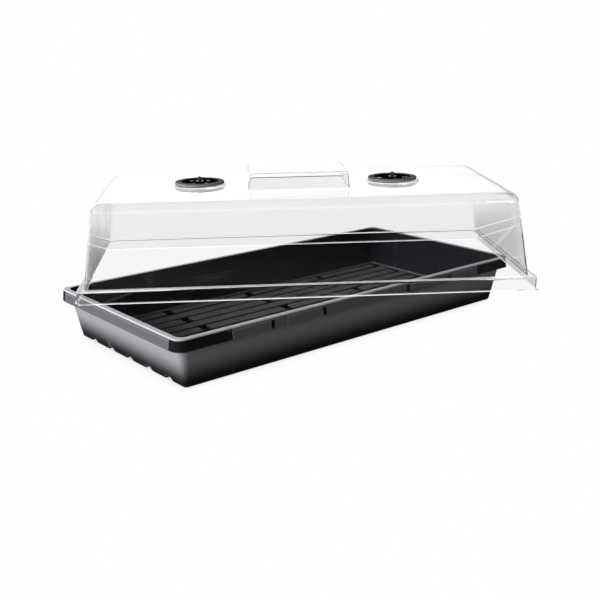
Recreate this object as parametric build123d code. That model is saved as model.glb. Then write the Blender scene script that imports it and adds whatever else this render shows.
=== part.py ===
"""Humidity dome tray: a black nursery tray with a clear vented dome standing askew across its rim.

Millimetres, +Z up. The origin is the centre of the tray's underside, and X runs along the tray.
The dome and its vents are modelled in the dome's own frame, whose origin is the centre of the
underside of its lip, and are turned and set down on the tray's rim at the end.
"""
import math
import os

from build123d import *

# Tray, outside sizes
tray_height = 63.5
tray_sheet = 1.6            # thickness of the moulded sheet
foot_length, foot_width = 517.0, 243.0      # outline of the wall at the bottom
foot_corner = 5.0
wall_slope = 0.19           # how far the wall leans out, per mm of height
corner_growth = 0.1         # how much larger the wall's corners get, per mm of height
bottom_edge_radius = 3.6

# Tray rim: a flat flange, and a skirt turned down from its edge, with raised pads
rim_length, rim_width, rim_corner = 552.0, 277.0, 12.0
rim_edge_radius = 1.3
skirt_depth = 14.5          # from the rim's top to the skirt's lower edge
skirt_flare = 1.4           # the skirt's lower edge stands this far outside its upper one
pad_top = 3.8               # from the rim's top to the pads' upper edge
pad_proud = 0.8             # the pads stand this far outside the plain skirt
end_pad_half = 122.0        # half the width of the single pad on each short side
long_pads = ((128.0, 74.0), (205.0, 152.0))     # far and near end of each pad from the middle
slot_width = 6.0            # open slot beside the near end of each long-side pad

# Tray floor: flat-topped ribs along X, with hollows below them
rib_pitch = 22.0
rib_rows = 5                # rows each side of the middle one
rib_foot = 18.5             # width of a rib where it leaves the floor
rib_height = 8.5
rib_slope = 0.12            # how far the rib's sides lean in, per mm of height
edge_rib_foot = 14.5        # the outermost rows are narrower
rib_corner = 3.0
rib_edge_radius = 1.2
channel_pitch = 135.0       # cross channels that break every second row, and at x=0 the middle one
channel_width = 10.0
rib_end_gap = 8.0           # a broken row stops this far short of the end wall
notch_width, notch_height = 19.0, 5.2       # where a long rib's hollow opens through the end wall
notch_slope, notch_corner = 0.8, 2.0

# Dome shell
dome_sheet = 0.9
skirt_length, skirt_width = 562.0, 284.0    # outside of the dome's skirt
dome_skirt_height = 15.8
dome_skirt_corner = 6.0
dome_lip = 3.0              # flat lip around the skirt's lower edge
ledge = 8.0                 # flat step between the skirt and the wall
roof_length, roof_width = 520.0, 248.0      # where the walls would meet the roof
roof_height = 117.2
wall_foot_corner, roof_corner = 9.0, 17.0
roof_edge_radius = 14.0
ledge_radius = 1.8

# Grip block raised in the middle of the roof
grip_length, grip_width, grip_height = 131.0, 100.0, 20.5
grip_lean = 2.2
grip_corner = 7.0
grip_edge_radius = 3.0
roof_shift = -5.3           # the block and the vents stand this far along from the dome's middle

# Vents: a raised round seat in the roof, a turning dial on it, and the pin that holds the dial
vent_spacing = 255.5
seat_diameter = 70.0
seat_height = 2.3
seat_edge_radius = 0.9
seat_inner_radius = 0.3     # the same edge on the inside of the sheet
dial_diameter = 64.6
dial_thickness = 2.4
dial_face_diameter = 48.0
dial_face_depth = 0.7
dial_edge_radius = 0.9
window_inner, window_outer = 7.5, 22.5      # radii of the vent windows
window_angle = 45.0         # angle that each of the four windows takes up
window_corner = 1.4
left_dial_turn, right_dial_turn = 45.0, 0.0
pin_diameter = 4.4
pin_head_diameter, pin_head_height = 5.6, 5.8
pin_collar_diameter, pin_collar_height = 9.5, 0.8
pin_barb_diameter, pin_barb_length = 6.4, 3.6
pin_barb_chamfer = 1.4
pin_slot = 1.0              # the slot that lets the barb close up
running_gap = 0.3           # between faces of pieces that move past each other
bore_gap = 0.08             # radial, between the dial's bore and the pin
snug_gap = 0.02             # radial, between the seat's hole and the pin

# Where the dome stands on the tray
dome_offset_x, dome_offset_y = 16.3, 8.5
dome_turn = -35.2

past = 5.0                  # how far a cutting solid runs past what it cuts


def rounded_block(length, width, corner, low, high):
    """An upright block with rounded corners, between two heights."""
    return Pos(0, 0, low) * extrude(RectangleRounded(length, width, corner), high - low)


def tapered_block(low_outline, high_outline, low, high):
    """A block whose rounded outline changes evenly from one height to another."""
    lower = Pos(0, 0, low) * RectangleRounded(*low_outline)
    upper = Pos(0, 0, high) * RectangleRounded(*high_outline)
    return loft([lower, upper], ruled=True)


def ring(length, width, corner, outer_inset, inner_inset, low, high):
    """A wall that follows an outline, between two insets from it and two heights."""
    outside = rounded_block(
        length - 2 * outer_inset, width - 2 * outer_inset, corner - outer_inset, low, high
    )
    inside = rounded_block(
        length - 2 * inner_inset, width - 2 * inner_inset, corner - inner_inset,
        low - past, high + past,
    )
    return outside - inside


def top_edges(solid):
    return solid.faces().sort_by(Axis.Z)[-1].edges()


def bottom_edges(solid):
    return solid.faces().sort_by(Axis.Z)[0].edges()


def box_between(low, high):
    """A plain box from its lowest to its highest corner."""
    size = [b - a for a, b in zip(low, high)]
    middle = [(a + b) / 2 for a, b in zip(low, high)]
    return Pos(*middle) * Box(*size)


# ---- Tray

def wall_outline(z, inset=0.0):
    """Length, width and corner radius of the tray wall at a height, moved in by an inset."""
    lean = wall_slope * z - inset
    return foot_length + 2 * lean, foot_width + 2 * lean, foot_corner + corner_growth * z - inset


def tray_outside():
    body = tapered_block(wall_outline(0), wall_outline(tray_height), 0, tray_height)
    return fillet(bottom_edges(body), bottom_edge_radius)


def tray_inside():
    low, high = tray_sheet, tray_height + past
    body = tapered_block(wall_outline(low, tray_sheet), wall_outline(high, tray_sheet), low, high)
    return fillet(bottom_edges(body), bottom_edge_radius - tray_sheet)


def rib_body(x_low, x_high, y, foot):
    """One length of rib, with its upper edges rounded."""
    lean = 2 * rib_slope * rib_height
    length = x_high - x_low
    body = tapered_block(
        (length, foot, rib_corner), (length - lean, foot - lean, rib_corner), 0, rib_height
    )
    return Pos((x_low + x_high) / 2, y, 0) * fillet(top_edges(body), rib_edge_radius)


def rib_hollow(x_low, x_high, y, foot):
    """The space under one length of rib, open at the tray's underside."""
    roof = rib_height - tray_sheet
    length, width = x_high - x_low - 2 * tray_sheet, foot - 2 * tray_sheet
    lean, flare = 2 * rib_slope * roof, 2 * rib_slope * past
    corner = rib_corner - tray_sheet
    body = tapered_block(
        (length + flare, width + flare, corner), (length - lean, width - lean, corner), -past, roof
    )
    return Pos((x_low + x_high) / 2, y, 0) * body


def rib_rows_across():
    """(row number, y) for every row of ribs on the floor."""
    return [(row, row * rib_pitch) for row in range(-rib_rows, rib_rows + 1)]


def rib_reach():
    return foot_length / 2 - bottom_edge_radius


def rib_lengths(reach):
    """(x_low, x_high, y, foot width) for every length of rib, the long rows ending at a reach."""
    ends = foot_length / 2 - tray_sheet - rib_end_gap
    half_channel = channel_width / 2
    lengths = []
    for row, y in rib_rows_across():
        foot = edge_rib_foot if abs(row) == rib_rows else rib_foot
        if row == 0:
            stops = [-reach, 0, reach]
        elif row % 2 == 0:
            stops = [-reach, reach]
        else:
            stops = [-ends, -channel_pitch, 0, channel_pitch, ends]
        for a, b in zip(stops, stops[1:]):
            low = a if a == stops[0] else a + half_channel
            high = b if b == stops[-1] else b - half_channel
            lengths.append((low, high, y, foot))
    return lengths


def end_notches():
    """Openings through both end walls, under every second row of ribs."""
    run = 6 * past
    notches = []
    for row, y in rib_rows_across():
        if row % 2:
            continue
        for side in (-1, 1):
            outline_low = (run, notch_width + 2 * notch_slope * past, notch_corner)
            outline_high = (run, notch_width - 2 * notch_slope * notch_height, notch_corner)
            notch = tapered_block(outline_low, outline_high, -past, notch_height)
            notches.append(Pos(side * (rib_reach() + past), y, 0) * notch)
    return notches


def pad_boxes(trim, low, high):
    """Boxes that mark off the pads along the rim, shortened by a trim at both ends."""
    half_length, half_width = rim_length / 2 + past, rim_width / 2 + past
    boxes = []
    for side in (-1, 1):
        x_inner, x_outer = sorted((side * (half_length - 4 * past), side * half_length))
        boxes.append(box_between(
            (x_inner, -end_pad_half + trim, low), (x_outer, end_pad_half - trim, high)
        ))
        y_inner, y_outer = sorted((side * (half_width - 4 * past), side * half_width))
        for far, near in long_pads:
            for end in (-1, 1):
                x_a, x_b = sorted((end * (far - trim), end * (near + trim)))
                boxes.append(box_between((x_a, y_inner, low), (x_b, y_outer, high)))
    return boxes


def skirt_slots():
    """Open slots in the long sides' skirt, one beside the near end of each pad."""
    low, high = tray_height - skirt_depth - past, tray_height - pad_top
    slots = []
    for side in (-1, 1):
        y_a, y_b = sorted((side * (rim_width / 2 - past), side * (rim_width / 2 + past)))
        for _, near in long_pads:
            for end in (-1, 1):
                x_a, x_b = sorted((end * near, end * (near - slot_width)))
                slots.append(box_between((x_a, y_a, low), (x_b, y_b, high)))
    return slots


def rim_form(proud, low, high):
    """A block with the rim's flared outline between two heights, standing proud of the skirt."""
    def outline(z):
        grow = skirt_flare * (tray_height - z) / skirt_depth + proud
        return rim_length + 2 * grow, rim_width + 2 * grow, rim_corner + grow
    return tapered_block(outline(low), outline(high), low, high)


def tray_rim():
    skirt_low, pad_high = tray_height - skirt_depth, tray_height - pad_top
    rim = rim_form(0, skirt_low, tray_height)
    rim = fillet(top_edges(rim), rim_edge_radius)
    pad = rim_form(pad_proud, skirt_low, pad_high)
    rim = rim + [pad & box for box in pad_boxes(0, skirt_low - past, pad_high + past)]
    hollow = rim_form(-tray_sheet, skirt_low - past, tray_height - tray_sheet)
    pad_hollow = rim_form(pad_proud - tray_sheet, skirt_low - past, pad_high - tray_sheet)
    pad_hollows = [
        pad_hollow & box for box in pad_boxes(tray_sheet, skirt_low - 2 * past, pad_high)
    ]
    opening = rounded_block(*wall_outline(tray_height, tray_sheet), 0, tray_height + past)
    return rim - hollow - pad_hollows - opening - skirt_slots()


def make_tray():
    outside = tray_outside()
    shell = outside - tray_inside()
    into_wall = foot_length / 2 + past
    bodies = [rib_body(*length) for length in rib_lengths(into_wall)]
    hollows = [rib_hollow(*length) for length in rib_lengths(rib_reach())]
    tray = shell + [body & outside for body in bodies]
    tray = tray - hollows - end_notches()
    return tray + tray_rim()


# ---- Dome

def vent_x(side):
    return roof_shift + side * vent_spacing / 2


def dome_solid(inset):
    """The dome's outer form, or with an inset, the space inside its sheet."""
    step = dome_skirt_height - inset
    low = -past if inset else 0.0
    skirt = rounded_block(
        skirt_length - 2 * inset, skirt_width - 2 * inset, dome_skirt_corner - inset, low, step
    )
    skirt = fillet(top_edges(skirt), ledge_radius)
    foot = (
        skirt_length - 2 * (ledge + inset), skirt_width - 2 * (ledge + inset),
        wall_foot_corner - inset,
    )
    roof = (roof_length - 2 * inset, roof_width - 2 * inset, roof_corner - inset)
    top = roof_height - inset
    wall = tapered_block(foot, roof, step, top)
    wall = fillet(top_edges(wall), roof_edge_radius - inset)
    grip_foot = (grip_length - 2 * inset, grip_width - 2 * inset, grip_corner - inset)
    grip_top = (
        grip_length - 2 * (grip_lean + inset), grip_width - 2 * (grip_lean + inset),
        grip_corner - inset,
    )
    grip = tapered_block(grip_foot, grip_top, top, top + grip_height)
    grip = fillet(top_edges(grip), grip_edge_radius - inset)
    form = skirt + wall + Pos(roof_shift, 0, 0) * grip
    for side in (-1, 1):
        seat = Pos(vent_x(side), 0, top) * extrude(Circle(seat_diameter / 2 - inset), seat_height)
        form = form + fillet(top_edges(seat), seat_inner_radius if inset else seat_edge_radius)
    return form


def vent_windows(turn, low, high):
    """Four windows around a vent's middle, as cutting solids between two heights."""
    reach = 2 * window_outer
    band = Circle(window_outer) - Circle(window_inner)
    wedge_edge = reach * math.tan(math.radians(window_angle / 2))
    wedge = make_face(Polyline((0, 0), (reach, -wedge_edge), (reach, wedge_edge), close=True))
    window = extrude(band & wedge, high - low)
    window = fillet(window.edges().filter_by(Axis.Z), window_corner)
    return [Pos(0, 0, low) * Rot(0, 0, turn + 90 * k) * window for k in range(4)]


def vent_place(side):
    return Pos(vent_x(side), 0, roof_height + seat_height)


def make_dome():
    shell = dome_solid(0) - dome_solid(dome_sheet)
    lip = ring(
        skirt_length, skirt_width, dome_skirt_corner, -dome_lip, dome_sheet, 0, dome_sheet
    )
    shell = shell + lip
    hole_radius = pin_diameter / 2 + snug_gap
    for side in (-1, 1):
        hole = Pos(0, 0, -past) * extrude(Circle(hole_radius), 2 * past)
        cuts = vent_windows(45, -past, past) + [hole]
        shell = shell - [vent_place(side) * cut for cut in cuts]
    return shell


def make_dial(side, turn):
    """A dial with its underside just clear of the seat, turned about its pin."""
    disc = fillet(top_edges(extrude(Circle(dial_diameter / 2), dial_thickness)), dial_edge_radius)
    face = Pos(0, 0, dial_thickness - dial_face_depth) * extrude(
        Circle(dial_face_diameter / 2), past
    )
    bore = Pos(0, 0, -past) * extrude(Circle(pin_diameter / 2 + bore_gap), 3 * past)
    dial = disc - face - bore - vent_windows(0, -past, 2 * past)
    return vent_place(side) * Pos(0, 0, running_gap) * Rot(0, 0, turn) * dial


def make_pin(side):
    """A push-in pin: domed head and collar above the dial, split barb below the seat."""
    collar_low = running_gap + dial_thickness - dial_face_depth + running_gap
    barb_high = -dome_sheet - 0.1
    barb_low = barb_high - pin_barb_length
    head = Pos(0, 0, collar_low) * extrude(
        Circle(pin_head_diameter / 2), pin_collar_height + pin_head_height
    )
    head = fillet(top_edges(head), 0.4 * pin_head_diameter)
    collar = Pos(0, 0, collar_low) * extrude(Circle(pin_collar_diameter / 2), pin_collar_height)
    shank = Pos(0, 0, barb_low) * extrude(Circle(pin_diameter / 2), collar_low - barb_low)
    barb = Pos(0, 0, barb_low) * extrude(Circle(pin_barb_diameter / 2), pin_barb_length)
    barb = chamfer(bottom_edges(barb), pin_barb_chamfer)
    slot = box_between(
        (-pin_slot / 2, -pin_diameter, barb_low - past), (pin_slot / 2, pin_diameter, barb_high)
    )
    return vent_place(side) * (head + collar + shank + barb - slot)


def set_on_tray(piece):
    """Turns a piece out of the dome's frame and sets it down on the tray's rim."""
    place = Location(
        (dome_offset_x, dome_offset_y, tray_height + running_gap), (0, 0, dome_turn)
    )
    return place * piece


nodes = {
    "tray": make_tray(),
    "dome": set_on_tray(make_dome()),
    "vent_dial_left": set_on_tray(make_dial(-1, left_dial_turn)),
    "vent_dial_right": set_on_tray(make_dial(1, right_dial_turn)),
    "vent_pin_left": set_on_tray(make_pin(-1)),
    "vent_pin_right": set_on_tray(make_pin(1)),
}

os.makedirs("parts", exist_ok=True)
for name, solid in nodes.items():
    export_step(solid, f"parts/{name}.step")
    print(name, len(solid.solids()), round(solid.volume / 1000, 2), "cm3")
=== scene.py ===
# %% [markdown]
# # Humidity dome tray
# The object is a black nursery tray with a clear, vented dome set down askew across its rim.
# The measured model brings the shapes: this lesson gives them their finishes, their floor, their
# light and their camera. Everything is in metres, in the model's own frame: the origin is the
# centre of the tray's underside, X runs along the tray and Z is up.

# %% Load the measured model
import math

import bpy
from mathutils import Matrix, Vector


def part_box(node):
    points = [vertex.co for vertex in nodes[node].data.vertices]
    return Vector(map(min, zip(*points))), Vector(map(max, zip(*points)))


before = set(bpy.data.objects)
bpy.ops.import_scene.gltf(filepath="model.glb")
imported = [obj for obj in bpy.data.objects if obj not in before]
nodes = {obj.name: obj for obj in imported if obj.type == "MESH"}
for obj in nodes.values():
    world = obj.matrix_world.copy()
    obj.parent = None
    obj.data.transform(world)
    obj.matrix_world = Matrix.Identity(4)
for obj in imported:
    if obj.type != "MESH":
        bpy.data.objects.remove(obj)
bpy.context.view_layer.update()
for name, node in sorted(nodes.items()):
    print(name, len(node.data.polygons), "faces,", len(node.data.materials), "material slots")

# %% [markdown]
# ## Camera
# The object is looked at from a little above its rim, towards the corner where the tray comes
# nearest. A fairly long lens keeps the dome's long sides nearly parallel.

# %% Camera
CAMERA_PLACE = (-0.7575, -0.9289, 0.3804)
CAMERA_TURN = math.radians(-39.4)
CAMERA_DOWN = math.radians(16.6)
CAMERA_ROLL = math.radians(-0.76)
LENS_MM = 55.3

scene = bpy.context.scene
camera_data = bpy.data.cameras.new("camera")
camera_data.sensor_width, camera_data.lens = 36.0, LENS_MM
camera_data.clip_start, camera_data.clip_end = 0.05, 60.0
camera = bpy.data.objects.new("camera", camera_data)
camera.location = CAMERA_PLACE
camera.rotation_euler = (math.pi / 2 - CAMERA_DOWN, 0.0, CAMERA_TURN)
camera.rotation_euler.rotate_axis("Z", CAMERA_ROLL)
scene.collection.objects.link(camera)
scene.camera = camera
print("camera", [round(v, 3) for v in camera.location], "lens", LENS_MM, "mm")

# %% [markdown]
# ## Wiring nodes
# Every finish below is a small tree of shader nodes. A few helpers keep the trees readable: one
# adds a node with its settings and its inputs in a single line, three wrap the nodes used most,
# and one starts a shared node group with named sockets, which several materials can then use
# with their own values.

# %% Node helpers


def add(tree, kind, settings=None, **inputs):
    """Adds a node. Inputs are given by name, or by number as i0, i1; a socket is linked."""
    node = tree.nodes.new(kind)
    for key, value in (settings or {}).items():
        setattr(node, key, value)
    for key, value in inputs.items():
        by_number = key[0] == "i" and key[1:].isdigit()
        socket = node.inputs[int(key[1:]) if by_number else key.replace("_", " ")]
        if isinstance(value, bpy.types.NodeSocket):
            tree.links.new(value, socket)
        else:
            socket.default_value = value
    return node


def maths(tree, operation, a, b=0.0, clamp=False):
    """Does one sum on two numbers or sockets."""
    settings = {"operation": operation, "use_clamp": clamp}
    return add(tree, "ShaderNodeMath", settings, i0=a, i1=b).outputs[0]


def blend(tree, share, low, high):
    """Mixes two colours by a share."""
    node = add(tree, "ShaderNodeMix", {"data_type": "RGBA"}, i0=share, i6=low, i7=high)
    return node.outputs[2]


def span(tree, value, low, high, to_low=0.0, to_high=1.0):
    """Maps a range onto another one, smoothly and without overshoot."""
    return add(tree, "ShaderNodeMapRange", {"interpolation_type": "SMOOTHSTEP"},
               i0=value, i1=low, i2=high, i3=to_low, i4=to_high).outputs[0]


def mix_numbers(tree, share, low, high):
    """Mixes two numbers by a share."""
    node = add(tree, "ShaderNodeMix", {"data_type": "FLOAT"}, i0=share, i2=low, i3=high)
    return node.outputs[0]


def new_group(name, takes, gives):
    """Starts a shared node group; takes and gives are (name, kind, default) and (name, kind)."""
    group = bpy.data.node_groups.new(name, "ShaderNodeTree")
    for label, kind, default in takes:
        socket = group.interface.new_socket(label, in_out="INPUT", socket_type="NodeSocket" + kind)
        if default is not None:
            socket.default_value = default
    for label, kind in gives:
        group.interface.new_socket(label, in_out="OUTPUT", socket_type="NodeSocket" + kind)
    return group, add(group, "NodeGroupInput").outputs, add(group, "NodeGroupOutput")


def place_group(tree, group, **inputs):
    """Puts a shared group in a material's tree, with its own values."""
    return add(tree, "ShaderNodeGroup", {"node_tree": group}, **inputs).outputs


def new_material(name):
    """An empty material with a Principled shader and the object's own coordinates."""
    material = bpy.data.materials.new(name)
    material.use_nodes = True
    tree = material.node_tree
    shader = tree.nodes["Principled BSDF"]
    place = add(tree, "ShaderNodeTexCoord").outputs["Object"]
    return material, tree, shader, place


print("helpers ready")

# %% [markdown]
# ## Moulded grain
# Vacuum-formed sheet is never mirror smooth: its skin has a fine pebble from the mould and soft
# dents from cooling. Fine and coarse noise added together make both, as a height for a bump and
# as a tone that can break up the colour and the gloss.

# %% Grain group
grain_group, took, gave = new_group(
    "moulded_grain",
    [("Place", "Vector", None), ("Fine Scale", "Float", 900.0), ("Coarse Scale", "Float", 22.0),
     ("Coarse Share", "Float", 0.5)],
    [("Height", "Float"), ("Tone", "Float")],
)
fine = add(grain_group, "ShaderNodeTexNoise", Vector=took["Place"], Scale=took["Fine Scale"],
           Detail=2.0).outputs[0]
coarse = add(grain_group, "ShaderNodeTexNoise", Vector=took["Place"], Scale=took["Coarse Scale"],
             Detail=4.0, Roughness=0.55).outputs[0]
rest = maths(grain_group, "SUBTRACT", 1.0, took["Coarse Share"])
height = maths(grain_group, "ADD", maths(grain_group, "MULTIPLY", fine, rest),
               maths(grain_group, "MULTIPLY", coarse, took["Coarse Share"]))
grain_group.links.new(height, gave.inputs["Height"])
grain_group.links.new(span(grain_group, coarse, 0.3, 0.7), gave.inputs["Tone"])
print(grain_group.name, "gives", [s.name for s in gave.inputs if s.name])

# %% [markdown]
# ## Scuffs
# Trays are stacked, slid and pulled apart, so their skin carries faint scratches, mostly along
# their length. Noise that is squeezed in one direction draws long thin marks, and keeping only
# its peaks leaves a few of them.

# %% Scuff group
scuff_group, took, gave = new_group(
    "scuffs",
    [("Place", "Vector", None), ("Scale", "Float", 60.0), ("Amount", "Float", 0.5)],
    [("Mask", "Float")],
)
marks = None
for stretch in ((0.06, 1.0, 1.0), (1.0, 0.07, 1.0), (1.0, 1.0, 0.09)):
    squeezed = add(scuff_group, "ShaderNodeMapping", Vector=took["Place"], Scale=stretch).outputs[0]
    noise = add(scuff_group, "ShaderNodeTexNoise", Vector=squeezed, Scale=took["Scale"],
                Detail=5.0, Roughness=0.7).outputs[0]
    peaks = span(scuff_group, noise, 0.6, 0.72)
    marks = peaks if marks is None else maths(scuff_group, "MAXIMUM", marks, peaks)
scuffed = maths(scuff_group, "MULTIPLY", marks, took["Amount"])
scuff_group.links.new(scuffed, gave.inputs["Mask"])
print(scuff_group.name, "ready")

# %% [markdown]
# ## Dust and height
# Dust settles where a face looks up, in soft patches. The second group fades a finish between
# two heights on the piece: the tray's wall is darker at its foot than under its rim, which is
# painted shade.

# %% Dust and height groups
dust_group, took, gave = new_group(
    "settled_dust",
    [("Place", "Vector", None), ("Amount", "Float", 0.3)],
    [("Mask", "Float")],
)
facing = add(dust_group, "ShaderNodeNewGeometry").outputs["Normal"]
upward = add(dust_group, "ShaderNodeSeparateXYZ", Vector=facing).outputs["Z"]
patches = add(dust_group, "ShaderNodeTexNoise", Vector=took["Place"], Scale=35.0,
              Detail=6.0, Roughness=0.65).outputs[0]
dusty = maths(dust_group, "MULTIPLY", span(dust_group, upward, 0.6, 0.98),
              span(dust_group, patches, 0.42, 0.68))
dust_group.links.new(maths(dust_group, "MULTIPLY", dusty, took["Amount"]), gave.inputs["Mask"])

height_group, took, gave = new_group(
    "height_fade",
    [("Place", "Vector", None), ("Low", "Float", 0.0), ("High", "Float", 0.06)],
    [("Mask", "Float")],
)
level = add(height_group, "ShaderNodeSeparateXYZ", Vector=took["Place"]).outputs["Z"]
height_group.links.new(span(height_group, level, took["Low"], took["High"]), gave.inputs["Mask"])
print(dust_group.name, "and", height_group.name, "ready")

# %% [markdown]
# ## Edge wear and painted edge highlight
# Corners rub first. The Bevel node smooths the surface's direction over a small radius; where
# that differs from the true direction there is an edge, which turns a little paler: partly wear,
# partly a painted highlight.

# %% Edge group
edge_group, took, gave = new_group(
    "edge_wear_and_highlight",
    [("Reach", "Float", 0.001), ("Amount", "Float", 1.0)],
    [("Mask", "Float")],
)
soft = add(edge_group, "ShaderNodeBevel", {"samples": 4}, Radius=took["Reach"]).outputs[0]
true = add(edge_group, "ShaderNodeNewGeometry").outputs["Normal"]
alike = add(edge_group, "ShaderNodeVectorMath", {"operation": "DOT_PRODUCT"}, i0=soft, i1=true)
edge = span(edge_group, maths(edge_group, "SUBTRACT", 1.0, alike.outputs["Value"]), 0.01, 0.16)
edge_group.links.new(maths(edge_group, "MULTIPLY", edge, took["Amount"]), gave.inputs["Mask"])
print(edge_group.name, "ready")

# %% [markdown]
# ## Inside and outside
# The tray's inside is the rough side of the sheet, and its colour is painted far darker than the
# outside, as painted shade. A face belongs to the inside if it looks towards the middle of the
# tray, or if it looks up from below the rim.
# The second mask picks out what looks straight down: the underside and the ribs' hollows,
# which are coloured paler as painted light from below.

# %% Inside group
inside_group, took, gave = new_group(
    "tray_inside",
    [("Place", "Vector", None), ("Rim", "Float", 0.0625)],
    [("Mask", "Float"), ("Under", "Float")],
)
flat = add(inside_group, "ShaderNodeVectorMath", {"operation": "MULTIPLY"}, i0=took["Place"],
           i1=(1.0, 1.0, 0.0)).outputs[0]
facing = add(inside_group, "ShaderNodeNewGeometry").outputs["Normal"]
outward = add(inside_group, "ShaderNodeVectorMath", {"operation": "DOT_PRODUCT"},
              i0=flat, i1=facing)
parts = add(inside_group, "ShaderNodeSeparateXYZ", Vector=took["Place"]).outputs
looks_up = add(inside_group, "ShaderNodeSeparateXYZ", Vector=facing).outputs["Z"]
turned_in = span(inside_group, outward.outputs["Value"], -0.004, -0.02)
below_rim = span(inside_group, parts["Z"], took["Rim"], 0.05)
up_and_below = maths(inside_group, "MULTIPLY", below_rim, span(inside_group, looks_up, 0.1, 0.4))
within = maths(inside_group, "MAXIMUM", turned_in, up_and_below)
inside_group.links.new(within, gave.inputs["Mask"])
inside_group.links.new(span(inside_group, looks_up, -0.8, -0.95), gave.inputs["Under"])
print(inside_group.name, "ready")

# %% [markdown]
# ## Corner blocks
# The rim's skirt is a darker, duller block at each corner, between the pads of the two sides
# that meet there: the darker colour is painted shade, and the dullness is its missing coat.
# Absolute distances from the middle pick out all four corners at once.

# %% Corner group
SKIRT_FOOT = 0.0488      # just under the lower edge of the tray's skirt
RIM_ROUND = 0.0612       # just below where the skirt rounds over into the rim's top

corner_group, took, gave = new_group(
    "corner_painted_shade",
    [("Place", "Vector", None), ("Along", "Float", 0.2055), ("Across", "Float", 0.1224)],
    [("Mask", "Float")],
)
parts = add(corner_group, "ShaderNodeSeparateXYZ", Vector=took["Place"]).outputs
past_pads = []
for axis, limit in (("X", "Along"), ("Y", "Across")):
    distance = maths(corner_group, "ABSOLUTE", parts[axis])
    past_pads.append(maths(corner_group, "GREATER_THAN", distance, took[limit]))
mask = maths(corner_group, "MULTIPLY", past_pads[0], past_pads[1])
above_skirt = maths(corner_group, "GREATER_THAN", parts["Z"], SKIRT_FOOT)
mask = maths(corner_group, "MULTIPLY", mask, above_skirt)
mask = maths(corner_group, "MULTIPLY", mask, span(corner_group, parts["Z"], 0.0625, RIM_ROUND))
corner_group.links.new(mask, gave.inputs["Mask"])
print(corner_group.name, "ready")

# %% [markdown]
# ## Tray plastic
# Black, satin, moulded plastic. Its blacks differ from part to part, and most of that is painted
# light and shade: the outside and the rim's top are greyest, the rim's top as a painted highlight;
# the rib tops are painted paler than the rest of the inside, a painted highlight; the inside, the
# skirt, the corner blocks and the foot of the walls are darker, painted shade; what looks straight
# down is paler, painted light from below. The outside has a smooth coat and the inside is rough.
# Pale edges, partly wear and partly a painted highlight, faint scuffs and a little dust lie over
# them all.

# %% Tray material
OUTSIDE_BLACK = (0.062, 0.062, 0.066, 1)
SKIRT_PAINTED_SHADE = (0.022, 0.022, 0.024, 1)
RIB_TOP_PAINTED_HIGHLIGHT = (0.03, 0.03, 0.033, 1)
LOW_PAINTED_SHADE = (0.0022, 0.0022, 0.0026, 1)
INSIDE_PAINTED_SHADE = (0.0032, 0.0032, 0.0042, 1)
UNDER_PAINTED_LIGHT = (0.03, 0.03, 0.032, 1)
SCUFF_GREY = (0.035, 0.035, 0.037, 1)
WEAR_AND_HIGHLIGHT_GREY = (0.085, 0.085, 0.09, 1)
RIM_PAINTED_HIGHLIGHT = (0.12, 0.12, 0.125, 1)
DUST_GREY = (0.16, 0.155, 0.145, 1)
FADES = {                             # heights between which each part of the wall takes over
    "wall": (0.005, 0.038),
    "skirt": (0.0485, SKIRT_FOOT),
    "rim": (RIM_ROUND, 0.0632),
    "rib top": (0.0068, 0.0080),
    "above ribs": (0.0110, 0.0090),
}
INSIDE_ROUGH = 0.75

tray_material, tree, shader, place = new_material("tray_black")
grain = place_group(tree, grain_group, Place=place, Coarse_Share=0.35)
scuffs = place_group(tree, scuff_group, Place=place, Amount=0.35)["Mask"]
dust = place_group(tree, dust_group, Place=place, Amount=0.035)["Mask"]
fade = {
    part: place_group(tree, height_group, Place=place, Low=low, High=high)["Mask"]
    for part, (low, high) in FADES.items()
}
# painted highlight: the rib tops inside are coloured paler than the channels
rib = maths(tree, "MULTIPLY", fade["rib top"], fade["above ribs"])
wear_and_highlight = place_group(tree, edge_group, Reach=0.0012, Amount=0.55)["Mask"]
faces = place_group(tree, inside_group, Place=place)
inside, under = faces["Mask"], faces["Under"]
corner = place_group(tree, corner_group, Place=place)["Mask"]

# painted shade: the wall's colour darkens towards its foot
colour = blend(tree, fade["wall"], LOW_PAINTED_SHADE, OUTSIDE_BLACK)
# painted shade: the skirt is darker than the wall below it
colour = blend(tree, fade["skirt"], colour, SKIRT_PAINTED_SHADE)
# painted highlight: the rim's top is coloured a paler grey
colour = blend(tree, fade["rim"], colour, RIM_PAINTED_HIGHLIGHT)
# painted shade: the inside takes a far darker black, with painted paler rib tops
colour = blend(tree, inside, colour, blend(tree, rib, INSIDE_PAINTED_SHADE, RIB_TOP_PAINTED_HIGHLIGHT))
# painted shade: the corner blocks take the darkest black
colour = blend(tree, corner, colour, LOW_PAINTED_SHADE)
# painted light from below: what looks straight down is coloured paler
colour = blend(tree, under, colour, UNDER_PAINTED_LIGHT)
colour = blend(tree, scuffs, colour, SCUFF_GREY)
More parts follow.
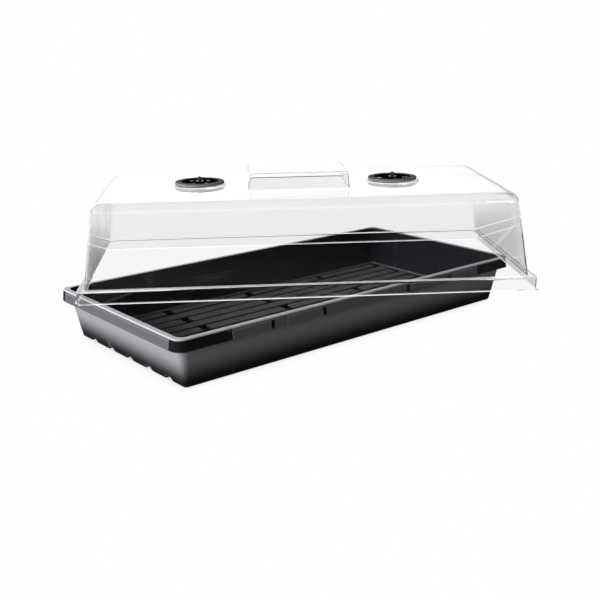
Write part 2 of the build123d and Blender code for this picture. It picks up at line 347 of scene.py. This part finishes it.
# pale edges: partly wear, partly a painted highlight
colour = blend(tree, wear_and_highlight, colour, WEAR_AND_HIGHLIGHT_GREY)
colour = blend(tree, dust, colour, DUST_GREY)
rough = span(tree, grain["Tone"], 0.0, 1.0, 0.44, 0.54)
rough = mix_numbers(tree, inside, rough, INSIDE_ROUGH)
rough = maths(tree, "ADD", rough, maths(tree, "MULTIPLY", scuffs, 0.18), clamp=True)
outside = maths(tree, "SUBTRACT", 1.0, maths(tree, "MAXIMUM", inside, corner))
skin = maths(tree, "MULTIPLY", grain["Height"], span(tree, outside, 0.0, 1.0, 0.12, 1.0))
bump = add(tree, "ShaderNodeBump", Strength=0.05, Distance=0.0005, Height=skin)
tree.links.new(colour, shader.inputs["Base Color"])
tree.links.new(rough, shader.inputs["Roughness"])
tree.links.new(maths(tree, "MULTIPLY", outside, 0.4), shader.inputs["Coat Weight"])
tree.links.new(bump.outputs[0], shader.inputs["Normal"])
shader.inputs["Coat Roughness"].default_value = 0.36
shader.inputs["Specular IOR Level"].default_value = 0.03
print(tray_material.name, "nodes", len(tree.nodes))

# %% [markdown]
# ## Dome plastic
# Clear sheet, drawn down over a mould: it is nearly invisible from the front and shows at its
# edges, corners and flange. Its thickness is real in the model, so ordinary glass-like shading
# works. Slow waves in its surface bend what is seen through it. Lamps shine through it: a ray
# on its way to a lamp meets a transparent shader, so the tray below is lit cleanly.

# %% Dome material
CLEAR_TINT = (0.985, 0.99, 0.985, 1)
LAMP_TINT = (0.93, 0.935, 0.93, 1)    # what is left of a lamp's light under the sheet
SHEET_IOR = 1.49

dome_material, tree, shader, place = new_material("dome_clear")
waves = place_group(tree, grain_group, Place=place, Coarse_Scale=9.0, Coarse_Share=1.0)
marks = place_group(tree, scuff_group, Place=place, Scale=90.0, Amount=0.6)["Mask"]
haze = maths(tree, "ADD", 0.004, maths(tree, "MULTIPLY", marks, 0.06))
bump = add(tree, "ShaderNodeBump", Strength=0.07, Distance=0.004, Height=waves["Height"])
tree.links.new(haze, shader.inputs["Roughness"])
tree.links.new(bump.outputs[0], shader.inputs["Normal"])
shader.inputs["Base Color"].default_value = CLEAR_TINT
shader.inputs["Transmission Weight"].default_value = 1.0
shader.inputs["IOR"].default_value = SHEET_IOR
path = add(tree, "ShaderNodeLightPath").outputs
lamp_pass = add(tree, "ShaderNodeBsdfTransparent", Color=LAMP_TINT).outputs[0]
mixed = add(tree, "ShaderNodeMixShader", i0=path["Is Shadow Ray"], i1=shader.outputs[0],
            i2=lamp_pass).outputs[0]
tree.links.new(mixed, tree.nodes["Material Output"].inputs["Surface"])
print(dome_material.name, "nodes", len(tree.nodes))

# %% [markdown]
# ## Vent dials and pins
# Each vent dial is a black disc with a dull face and a smoother outer ring, whose paler colour
# is a painted reflection. A ring mask, measured from the dial's own middle, tells the two apart.
# The pins are black too, but glossy all over.

# %% Ring group
ring_group, took, gave = new_group(
    "ring_from_middle",
    [("Place", "Vector", None), ("Middle", "Vector", (0, 0, 0)), ("Inner", "Float", 0.024),
     ("Soft", "Float", 0.0006)],
    [("Mask", "Float")],
)
apart = add(ring_group, "ShaderNodeVectorMath", {"operation": "SUBTRACT"}, i0=took["Place"],
            i1=took["Middle"]).outputs[0]
apart = add(ring_group, "ShaderNodeVectorMath", {"operation": "MULTIPLY"}, i0=apart,
            i1=(1.0, 1.0, 0.0)).outputs[0]
far = add(ring_group, "ShaderNodeVectorMath", {"operation": "LENGTH"}, i0=apart).outputs["Value"]
past_inner = maths(ring_group, "ADD", took["Inner"], took["Soft"])
ring_group.links.new(span(ring_group, far, took["Inner"], past_inner), gave.inputs["Mask"])
print(ring_group.name, "ready")

# %% Dial and pin materials
FACE_BLACK = (0.0008, 0.0008, 0.001, 1)
RING_PAINTED_REFLECTION = (0.045, 0.045, 0.048, 1)
FACE_ROUGH, RING_ROUGH = 0.70, 0.44
PIN_BLACKS = (0.004, 0.004, 0.0045, 1), (0.008, 0.008, 0.009, 1)


def dial_plastic(name, middle):
    """The finish of one vent dial, around its own middle."""
    material, tree, shader, place = new_material(name)
    ring = place_group(tree, ring_group, Place=place, Middle=middle)["Mask"]
    grain = place_group(tree, grain_group, Place=place, Coarse_Share=0.3)
    scuffs = place_group(tree, scuff_group, Place=place, Scale=140.0, Amount=0.5)["Mask"]
    dust = place_group(tree, dust_group, Place=place, Amount=0.01)["Mask"]
    # painted reflection: the dial's outer ring is coloured paler than its face
    colour = blend(tree, ring, FACE_BLACK, RING_PAINTED_REFLECTION)
    colour = blend(tree, dust, colour, DUST_GREY)
    rough = mix_numbers(tree, ring, FACE_ROUGH, RING_ROUGH)
    rough = maths(tree, "ADD", rough, maths(tree, "MULTIPLY", scuffs, 0.15), clamp=True)
    bump = add(tree, "ShaderNodeBump", Strength=0.08, Distance=0.0004, Height=grain["Height"])
    tree.links.new(colour, shader.inputs["Base Color"])
    tree.links.new(rough, shader.inputs["Roughness"])
    tree.links.new(bump.outputs[0], shader.inputs["Normal"])
    shader.inputs["Specular IOR Level"].default_value = 0.0
    return material


dial_materials = {}
for side in ("left", "right"):
    low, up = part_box(f"vent_dial_{side}")
    middle = [(a + b) / 2 for a, b in zip(low, up)]
    dial_materials[side] = dial_plastic(f"dial_black_{side}", middle)
    print(f"vent_dial_{side} middle", [round(v, 4) for v in middle])

pin_material, tree, shader, place = new_material("pin_black")
scuffs = place_group(tree, scuff_group, Place=place, Scale=200.0, Amount=0.5)["Mask"]
grain = place_group(tree, grain_group, Place=place, Coarse_Scale=80.0)
tree.links.new(blend(tree, grain["Tone"], *PIN_BLACKS), shader.inputs["Base Color"])
tree.links.new(maths(tree, "ADD", 0.2, maths(tree, "MULTIPLY", scuffs, 0.2)),
               shader.inputs["Roughness"])

# %% [markdown]
# ## Put the finishes on
# The measured pieces already have the right shapes, so they keep them and only get their
# materials here.

# %% Assign


def finish_node(name, material):
    """Gives one measured piece its only material."""
    mesh = nodes[name].data
    mesh.materials.clear()
    mesh.materials.append(material)
    print(name, "<-", material.name)


finish_node("tray", tray_material)
finish_node("dome", dome_material)
for side in ("left", "right"):
    finish_node(f"vent_dial_{side}", dial_materials[side])
    finish_node(f"vent_pin_{side}", pin_material)

# %% [markdown]
# ## Floor and surroundings
# A product shot on white. What is looked at directly, or through the clear dome, is a white
# floor under a white backdrop, with a faint contact shade where something stands on it. What
# the plastic mirrors is a darker room, which keeps black plastic black and gives the clear
# sheet grey edges. That room has a pale band all round above the horizon, a glow behind the
# set, and a floor that turns light far behind it, so the dome stays clear from every side. The
# Light Path node tells the two kinds of ray apart. From below, the floor is see-through.

# %% Floor and world
FLOOR_HALF = 30.0
FLOOR_DROP = 0.0004                   # keeps the floor just clear of the tray's underside
WHITE = (1, 1, 1, 1)
CONTACT_GREY = (0.62, 0.62, 0.63, 1)
CONTACT_REACH = 0.06
NEAR_FLOOR = (0.025, 0.025, 0.025, 1)
FAR_FLOOR_LIGHT = 0.92
ROOM_GREY = (0.09, 0.09, 0.095, 1)
BAND_GREY = (0.85, 0.85, 0.855, 1)    # a paler band of the room, all round, above the horizon
GLOW_WAY = (0.389, 0.874, 0.292)      # unit vector towards the middle of the glow behind the set
GLOW = 1.5
scene.view_settings.view_transform = "Standard"


def seen_share(tree):
    """1 for rays that look straight at a surface, or through the clear sheet, with no mirroring."""
    path = add(tree, "ShaderNodeLightPath").outputs
    straight = maths(tree, "MAXIMUM", path["Is Camera Ray"], path["Is Transmission Ray"])
    turns = maths(tree, "ADD", path["Glossy Depth"], path["Diffuse Depth"])
    return maths(tree, "MULTIPLY", straight, maths(tree, "LESS_THAN", turns, 0.5))


mesh = bpy.data.meshes.new("floor")
corners = [(-1, -1), (1, -1), (1, 1), (-1, 1)]
points = [(x * FLOOR_HALF, y * FLOOR_HALF, -FLOOR_DROP) for x, y in corners]
mesh.from_pydata(points, [], [(0, 1, 2, 3)])
floor = bpy.data.objects.new("floor", mesh)
scene.collection.objects.link(floor)
floor_material, tree, _, place = new_material("floor_paper")
seen = seen_share(tree)
contact = add(tree, "ShaderNodeAmbientOcclusion", {"samples": 8}, Distance=CONTACT_REACH)
open_share = span(tree, contact.outputs["AO"], 0.05, 0.55)
white = blend(tree, open_share, CONTACT_GREY, WHITE)
lit = add(tree, "ShaderNodeEmission", Color=white, Strength=1.0).outputs[0]
behind = add(tree, "ShaderNodeVectorMath", {"operation": "DOT_PRODUCT"}, i0=place, i1=GLOW_WAY)
far_share = span(tree, behind.outputs["Value"], 0.3, 0.65)
far_light = add(tree, "ShaderNodeEmission", Color=WHITE, Strength=FAR_FLOOR_LIGHT).outputs[0]
near_dark = add(tree, "ShaderNodeBsdfDiffuse", Color=NEAR_FLOOR).outputs[0]
dark = add(tree, "ShaderNodeMixShader", i0=far_share, i1=near_dark, i2=far_light).outputs[0]
paper = add(tree, "ShaderNodeMixShader", i0=seen, i1=dark, i2=lit).outputs[0]
from_below = add(tree, "ShaderNodeNewGeometry").outputs["Backfacing"]
gone = add(tree, "ShaderNodeBsdfTransparent").outputs[0]
both = add(tree, "ShaderNodeMixShader", i0=from_below, i1=paper, i2=gone).outputs[0]
tree.links.new(both, tree.nodes["Material Output"].inputs["Surface"])
mesh.materials.append(floor_material)

world = bpy.data.worlds.new("studio")
world.use_nodes = True
tree = world.node_tree
way = add(tree, "ShaderNodeTexCoord").outputs["Generated"]
near_glow = add(tree, "ShaderNodeVectorMath", {"operation": "DOT_PRODUCT"}, i0=way, i1=GLOW_WAY)
glow = span(tree, near_glow.outputs["Value"], 0.72, 0.995)
height = add(tree, "ShaderNodeSeparateXYZ", i0=way).outputs["Z"]
band = maths(tree, "MULTIPLY", span(tree, height, 0.12, 0.24), span(tree, height, 0.62, 0.42))
around = blend(tree, band, ROOM_GREY, BAND_GREY)
room = tree.nodes["Background"]
tree.links.new(blend(tree, glow, around, (GLOW, GLOW, GLOW, 1)), room.inputs["Color"])
backdrop = add(tree, "ShaderNodeBackground", Color=WHITE, Strength=1.0).outputs[0]
both = add(tree, "ShaderNodeMixShader", i0=seen_share(tree), i1=room.outputs[0], i2=backdrop)
tree.links.new(both.outputs[0], tree.nodes["World Output"].inputs["Surface"])
scene.world = world
print("floor and world ready")

# %% [markdown]
# ## Light
# The glow behind the set, already in the world, draws the bright lines along the rim and the
# dome's flange. Three soft boxes do the rest: a strong one at the left makes the tray's short
# side the brightest face, a wide one overhead lights what looks up, and a weak one at the front
# keeps the long side just readable. Only the front one is mirrored in the plastic, because the
# other two would show as hard white patches in the dome.

# %% Soft boxes


def soft_box(name, place, target, size, power, mirrored):
    """An area light that faces a point; size is its width and height."""
    data = bpy.data.lights.new(name, "AREA")
    data.shape, data.energy = "RECTANGLE", power
    data.size, data.size_y = size
    light = bpy.data.objects.new(name, data)
    light.location = place
    aim = Vector(target) - Vector(place)
    light.rotation_mode = "QUATERNION"
    light.rotation_quaternion = aim.to_track_quat("-Z", "Y")
    scene.collection.objects.link(light)
    light.visible_camera = False
    light.visible_transmission = False
    light.visible_glossy = mirrored


soft_box("left_box", (-1.8, 0.30, 0.45), (-0.27, 0.0, 0.03), (2.0, 1.0), 290, mirrored=False)
soft_box("top_box", (0.0, 0.2, 2.2), (0.0, 0.0, 0.0), (2.6, 2.2), 22, mirrored=False)
soft_box("front_box", (0.3, -2.2, 0.9), (0.0, -0.13, 0.04), (1.6, 0.9), 40, mirrored=True)
